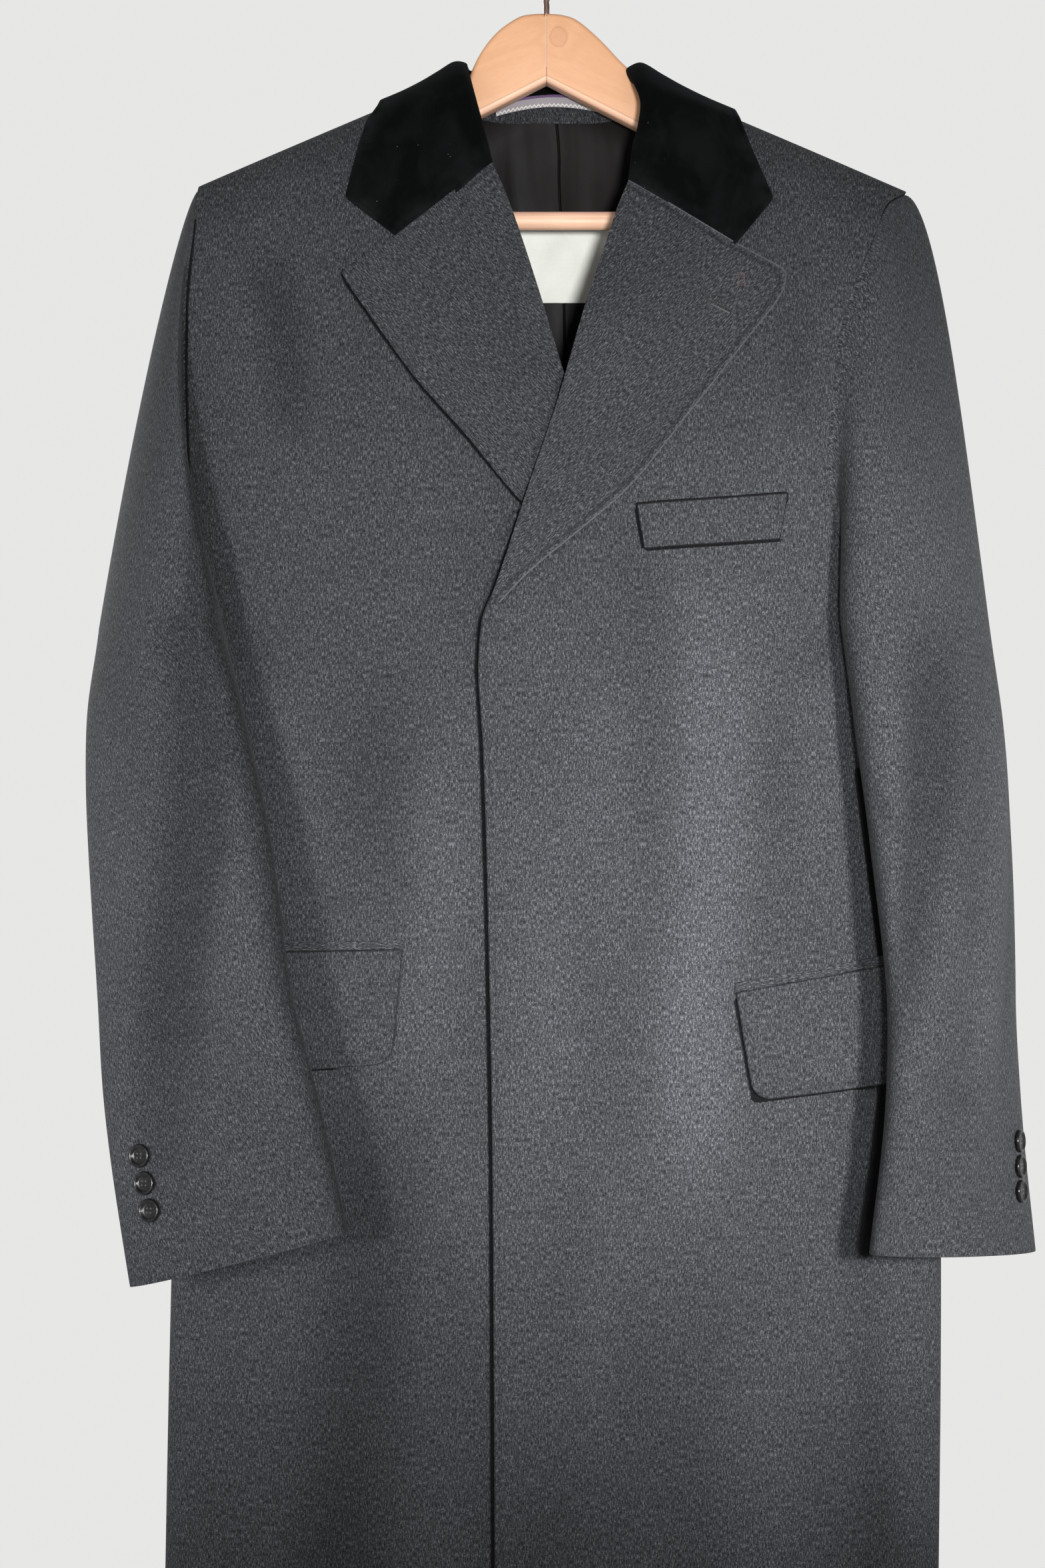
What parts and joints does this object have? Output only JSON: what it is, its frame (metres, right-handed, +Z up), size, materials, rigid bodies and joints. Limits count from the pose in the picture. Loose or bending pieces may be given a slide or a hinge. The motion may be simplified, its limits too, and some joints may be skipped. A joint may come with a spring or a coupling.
{
  "type": "covert coat on a wooden hanger",
  "caption": "Knee-length single-breasted covert coat with a fly front and a velvet collar, hanging empty on a wooden hanger with a trouser bar and a wire hook.",
  "frame": {"origin": "inside top of the hanger's hook, where the rail holds it up", "axes": "+Z up; the front of the coat faces -Y; +X is on the viewer's right, which is the wearer's left side"},
  "size_m": [0.6241, 0.1684, 1.1889],
  "materials": {
    "cloth": "grey marl wool covert twill, matt",
    "velvet": "near-black cotton velvet",
    "satin": "dark brown-black satin lining",
    "label": "bare white woven tape",
    "loop": "silver-mauve woven tape",
    "horn": "glossy black",
    "wood": "clear satin lacquer",
    "bar": "plain",
    "wire": "drawn wire"
  },
  "bodies": {
    "root": {"back_left": "cloth", "back_neck_facing": "cloth", "back_right": "cloth", "breast_welt": "cloth", "flap_left": "cloth", "flap_right": "cloth", "front_left": "cloth", "front_right": "cloth", "lapel_left": "cloth", "lapel_right": "cloth", "top_sleeve_left": "cloth", "top_sleeve_right": "cloth", "under_sleeve_left": "cloth", "under_sleeve_right": "cloth", "velvet_collar": "velvet", "back_lining": "satin", "label": "label", "hanging_loop": "loop", "cuff_button_left_1": "horn", "cuff_button_left_2": "horn", "cuff_button_left_3": "horn", "cuff_button_right_1": "horn", "cuff_button_right_2": "horn", "cuff_button_right_3": "horn", "hanger_arm_left": "wood", "hanger_arm_right": "wood", "trouser_bar": "bar", "hook": "wire"}
  },
  "joints": []
}
